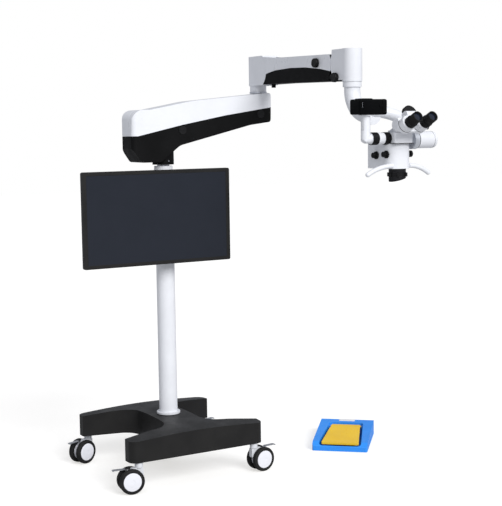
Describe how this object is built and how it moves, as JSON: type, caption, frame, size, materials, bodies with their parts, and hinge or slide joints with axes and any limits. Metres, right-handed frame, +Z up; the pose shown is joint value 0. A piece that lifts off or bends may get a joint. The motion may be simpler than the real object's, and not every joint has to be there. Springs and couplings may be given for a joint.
{
  "type": "surgical microscope",
  "caption": "Surgical microscope on a wheeled floor stand, with a monitor, a fixed-height first arm, a sprung second arm, a tilting binocular head and a foot pedal.",
  "frame": {"origin": "on the floor, under the middle of the column", "axes": "+Z up; +X along the first arm, to the operator's right; -Y toward the operator"},
  "size_m": [1.4316, 1.4594, 1.711],
  "materials": {
    "white_paint": "gloss",
    "white_cover": "gloss",
    "black_cover": "satin",
    "black_knob": "matte",
    "black_metal": "anodised black",
    "grey_plastic": "satin",
    "silver_metal": "satin anodised",
    "steel_bright": "brushed",
    "steel_frame": "matte",
    "tyre_black": "matte",
    "screen_glass": "gloss",
    "lens_glass": "clear",
    "pedal_blue": "satin",
    "pedal_yellow": "satin"
  },
  "bodies": {
    "stand": {"base_cover": "black_cover", "base_frame": "steel_frame", "column_collar": "grey_plastic", "column": "white_paint", "monitor_clamp": "black_metal", "pedal_base": "pedal_blue"},
    "front_left_caster": {"front_left_caster_fork": "grey_plastic"},
    "front_left_wheels": {"front_left_caster_wheels": "tyre_black"},
    "front_left_brake": {"front_left_caster_brake": "steel_bright"},
    "front_right_caster": {"front_right_caster_fork": "grey_plastic"},
    "front_right_wheels": {"front_right_caster_wheels": "tyre_black"},
    "front_right_brake": {"front_right_caster_brake": "steel_bright"},
    "rear_left_caster": {"rear_left_caster_fork": "grey_plastic"},
    "rear_left_wheels": {"rear_left_caster_wheels": "tyre_black"},
    "rear_left_brake": {"rear_left_caster_brake": "steel_bright"},
    "rear_right_caster": {"rear_right_caster_fork": "grey_plastic"},
    "rear_right_wheels": {"rear_right_caster_wheels": "tyre_black"},
    "rear_right_brake": {"rear_right_caster_brake": "steel_bright"},
    "monitor_arm": {"monitor_swivel": "black_metal"},
    "monitor": {"monitor_tilt_plate": "steel_frame", "monitor_housing": "black_cover", "monitor_screen": "screen_glass"},
    "first_arm": {"arm_top_cover": "white_cover", "arm_bottom_cover": "black_cover", "arm_beam": "silver_metal"},
    "column_brake": {"column_brake_knob": "black_knob"},
    "elbow_brake": {"elbow_brake_knob": "black_knob"},
    "elbow_knuckle": {"rear_knuckle": "white_paint"},
    "spring_arm": {"spring_arm_shell": "white_cover", "spring_arm_lower_cover": "black_cover", "spring_arm_frame": "black_metal"},
    "balance": {"balance_knob": "black_knob"},
    "lower_link": {"parallel_link": "silver_metal"},
    "gas_cylinder": {"gas_spring_cylinder": "steel_frame"},
    "gas_rod": {"gas_spring_rod": "steel_bright"},
    "end_knuckle": {"front_knuckle": "white_paint"},
    "front_lock": {"front_lock_knob": "black_knob"},
    "suspension": {"suspension_tube": "white_paint"},
    "head_arm": {"c_arm": "white_paint"},
    "tilt_tension": {"tilt_tension_knob": "white_cover"},
    "head": {"tilt_flange": "silver_metal", "head_housing": "white_cover", "objective_barrel": "black_metal", "handle_left": "white_cover", "handle_right": "white_cover", "beam_splitter": "white_cover", "photo_adapter": "white_cover", "camera": "black_cover", "binocular_mount": "silver_metal"},
    "changer": {"magnification_changer": "black_knob"},
    "filter": {"filter_knob": "black_knob"},
    "focus": {"focus_ring": "black_knob"},
    "lens_cell": {"objective_lens": "lens_glass"},
    "binocular": {"binocular_housing": "white_cover"},
    "left_drum": {"left_prism_drum": "white_cover"},
    "right_drum": {"right_prism_drum": "white_cover"},
    "left_ocular": {"left_eyepiece": "black_knob"},
    "right_ocular": {"right_eyepiece": "black_knob"},
    "pd_wheel": {"pd_knob": "black_knob"},
    "treadle": {"pedal_treadle": "pedal_yellow"}
  },
  "joints": [
    {"name": "front_left_caster_swivel", "type": "hinge", "parent": "stand", "child": "front_left_caster", "pos_m": [-0.26, -0.26, 0.1], "axis": [0, 0, 1], "continuous": true},
    {"name": "front_left_wheels_spin", "type": "hinge", "parent": "front_left_caster", "child": "front_left_wheels", "pos_m": [-0.29358, -0.25468, 0.05], "axis": [-0.1564, -0.9877, 0], "continuous": true},
    {"name": "front_left_brake_press", "type": "hinge", "parent": "front_left_caster", "child": "front_left_brake", "pos_m": [-0.30346, -0.25312, 0.084], "axis": [-0.1564, -0.9877, 0], "range_deg": [0, 18]},
    {"name": "front_right_caster_swivel", "type": "hinge", "parent": "stand", "child": "front_right_caster", "pos_m": [0.26, -0.26, 0.1], "axis": [0, 0, 1], "continuous": true},
    {"name": "front_right_wheels_spin", "type": "hinge", "parent": "front_right_caster", "child": "front_right_wheels", "pos_m": [0.29379, -0.25621, 0.05], "axis": [-0.1115, 0.9938, 0], "continuous": true},
    {"name": "front_right_brake_press", "type": "hinge", "parent": "front_right_caster", "child": "front_right_brake", "pos_m": [0.30373, -0.2551, 0.084], "axis": [-0.1115, 0.9938, 0], "range_deg": [0, 18]},
    {"name": "rear_left_caster_swivel", "type": "hinge", "parent": "stand", "child": "rear_left_caster", "pos_m": [-0.26, 0.26, 0.1], "axis": [0, 0, 1], "continuous": true},
    {"name": "rear_left_wheels_spin", "type": "hinge", "parent": "rear_left_caster", "child": "rear_left_wheels", "pos_m": [-0.29178, 0.24793, 0.05], "axis": [0.3551, -0.9348, 0], "continuous": true},
    {"name": "rear_left_brake_press", "type": "hinge", "parent": "rear_left_caster", "child": "rear_left_brake", "pos_m": [-0.30113, 0.24438, 0.084], "axis": [0.3551, -0.9348, 0], "range_deg": [0, 18]},
    {"name": "rear_right_caster_swivel", "type": "hinge", "parent": "stand", "child": "rear_right_caster", "pos_m": [0.26, 0.26, 0.1], "axis": [0, 0, 1], "continuous": true},
    {"name": "rear_right_wheels_spin", "type": "hinge", "parent": "rear_right_caster", "child": "rear_right_wheels", "pos_m": [0.29284, 0.2688, 0.05], "axis": [-0.2588, 0.9659, 0], "continuous": true},
    {"name": "rear_right_brake_press", "type": "hinge", "parent": "rear_right_caster", "child": "rear_right_brake", "pos_m": [0.3025, 0.27139, 0.084], "axis": [-0.2588, 0.9659, 0], "range_deg": [0, 18]},
    {"name": "monitor_swivel_turn", "type": "hinge", "parent": "stand", "child": "monitor_arm", "pos_m": [0, -0.062, 1.06], "axis": [0, 0, 1], "range_deg": [-30, 30]},
    {"name": "monitor_tilt", "type": "hinge", "parent": "monitor_arm", "child": "monitor", "pos_m": [-0.077, -0.07, 1.06], "axis": [1, 0, 0], "range_deg": [-10, 12]},
    {"name": "column_yaw", "type": "hinge", "parent": "stand", "child": "first_arm", "pos_m": [0, 0, 1.3], "axis": [0, 0, 1], "range_deg": [-150, 150]},
    {"name": "column_brake_turn", "type": "hinge", "parent": "first_arm", "child": "column_brake", "pos_m": [0.06398, -0.0575, 1.40749], "axis": [0, 1, 0], "range_deg": [-180, 180]},
    {"name": "elbow_brake_turn", "type": "hinge", "parent": "first_arm", "child": "elbow_brake", "pos_m": [0.43415, -0.0575, 1.47013], "axis": [0, 1, 0], "range_deg": [-180, 180]},
    {"name": "elbow_yaw", "type": "hinge", "parent": "first_arm", "child": "elbow_knuckle", "pos_m": [0.457, 0, 1.6], "axis": [0, 0, 1], "range_deg": [-60, 150]},
    {"name": "spring_arm_lift", "type": "hinge", "parent": "elbow_knuckle", "child": "spring_arm", "pos_m": [0.457, -0.054, 1.65], "axis": [-1, 0, 0], "range_deg": [-15, 20]},
    {"name": "knuckle_level", "type": "hinge", "parent": "spring_arm", "child": "end_knuckle", "pos_m": [0.457, -0.644, 1.65], "axis": [-1, 0, 0], "range_deg": [-21, 16]},
    {"name": "link_swing", "type": "hinge", "parent": "elbow_knuckle", "child": "lower_link", "pos_m": [0.457, -0.054, 1.603], "axis": [-1, 0, 0], "range_deg": [-16, 21]},
    {"name": "gas_spring_swing", "type": "hinge", "parent": "elbow_knuckle", "child": "gas_cylinder", "pos_m": [0.457, -0.054, 1.628], "axis": [-1, 0, 0], "range_deg": [-16, 21]},
    {"name": "gas_spring_stroke", "type": "slide", "parent": "gas_cylinder", "child": "gas_rod", "axis": [0, -0.9996, 0.0282], "range_m": [-0.0065, 0.0085]},
    {"name": "balance_turn", "type": "hinge", "parent": "spring_arm", "child": "balance", "pos_m": [0.41, -0.515, 1.659], "axis": [-1, 0, 0], "range_deg": [-180, 180]},
    {"name": "front_lock_turn", "type": "hinge", "parent": "end_knuckle", "child": "front_lock", "pos_m": [0.41, -0.647, 1.598], "axis": [-1, 0, 0], "range_deg": [-90, 90]},
    {"name": "suspension_yaw", "type": "hinge", "parent": "end_knuckle", "child": "suspension", "pos_m": [0.457, -0.698, 1.56], "axis": [0, 0, -1], "range_deg": [-90, 90]},
    {"name": "roll", "type": "hinge", "parent": "suspension", "child": "head_arm", "pos_m": [0.457, -0.81, 1.456], "axis": [0, 1, 0], "range_deg": [-40, 40]},
    {"name": "tilt", "type": "hinge", "parent": "head_arm", "child": "head", "pos_m": [0.457, -0.977, 1.362], "axis": [1, 0, 0], "range_deg": [-60, 40]},
    {"name": "tilt_tension_turn", "type": "hinge", "parent": "head_arm", "child": "tilt_tension", "pos_m": [0.612, -0.977, 1.362], "axis": [1, 0, 0], "range_deg": [-180, 180]},
    {"name": "magnification_turn", "type": "hinge", "parent": "head", "child": "changer", "pos_m": [0.457, -0.983, 1.313], "axis": [1, 0, 0], "continuous": true},
    {"name": "filter_turn", "type": "hinge", "parent": "head", "child": "filter", "pos_m": [0.407, -0.922, 1.309], "axis": [1, 0, 0], "range_deg": [-120, 120]},
    {"name": "focus_turn", "type": "hinge", "parent": "head", "child": "focus", "pos_m": [0.457, -0.977, 1.24], "axis": [0, 0, 1], "range_deg": [-90, 90]},
    {"name": "lens_slide", "type": "slide", "parent": "head", "child": "lens_cell", "axis": [0, 0, 1], "range_m": [-0.0042, 0.0042]},
    {"name": "inclination", "type": "hinge", "parent": "head", "child": "binocular", "pos_m": [0.457, -1.021, 1.416], "axis": [1, 0, 0], "range_deg": [-45, 20]},
    {"name": "left_drum_turn", "type": "hinge", "parent": "binocular", "child": "left_drum", "pos_m": [0.426, -1.02977, 1.39802], "axis": [0, -0.8988, 0.4384], "range_deg": [-12, 12]},
    {"name": "right_drum_turn", "type": "hinge", "parent": "binocular", "child": "right_drum", "pos_m": [0.488, -1.02977, 1.39802], "axis": [0, -0.8988, 0.4384], "range_deg": [-12.5, 12.5]},
    {"name": "pd_knob_turn", "type": "hinge", "parent": "binocular", "child": "pd_wheel", "pos_m": [0.517, -1.06028, 1.40846], "axis": [1, 0, 0], "range_deg": [-75, 75]},
    {"name": "left_diopter", "type": "hinge", "parent": "left_drum", "child": "left_ocular", "pos_m": [0.4245, -1.03196, 1.39353], "axis": [0, -0.8988, 0.4384], "range_deg": [-120, 120]},
    {"name": "right_diopter", "type": "hinge", "parent": "right_drum", "child": "right_ocular", "pos_m": [0.4895, -1.03196, 1.39353], "axis": [0, -0.8988, 0.4384], "range_deg": [-120, 120]},
    {"name": "treadle_press", "type": "hinge", "parent": "stand", "child": "treadle", "pos_m": [0.8917, -0.01432, 0.04663], "axis": [0.7547, -0.6561, 0], "range_deg": [0, 2.5], "stiffness_Nm_per_rad": 30, "springref_deg": -2.86}
  ],
  "couplings": [
    {"joint": "knuckle_level", "follows": "spring_arm_lift", "ratio": -1},
    {"joint": "link_swing", "follows": "spring_arm_lift", "ratio": 1},
    {"joint": "gas_spring_swing", "follows": "spring_arm_lift", "ratio": 0.996},
    {"joint": "gas_spring_stroke", "follows": "spring_arm_lift", "m_per_rad": 0.0218},
    {"joint": "lens_slide", "follows": "focus_turn", "m_per_rad": 0.002546},
    {"joint": "right_drum_turn", "follows": "left_drum_turn", "ratio": -1},
    {"joint": "pd_knob_turn", "follows": "left_drum_turn", "ratio": 6}
  ]
}
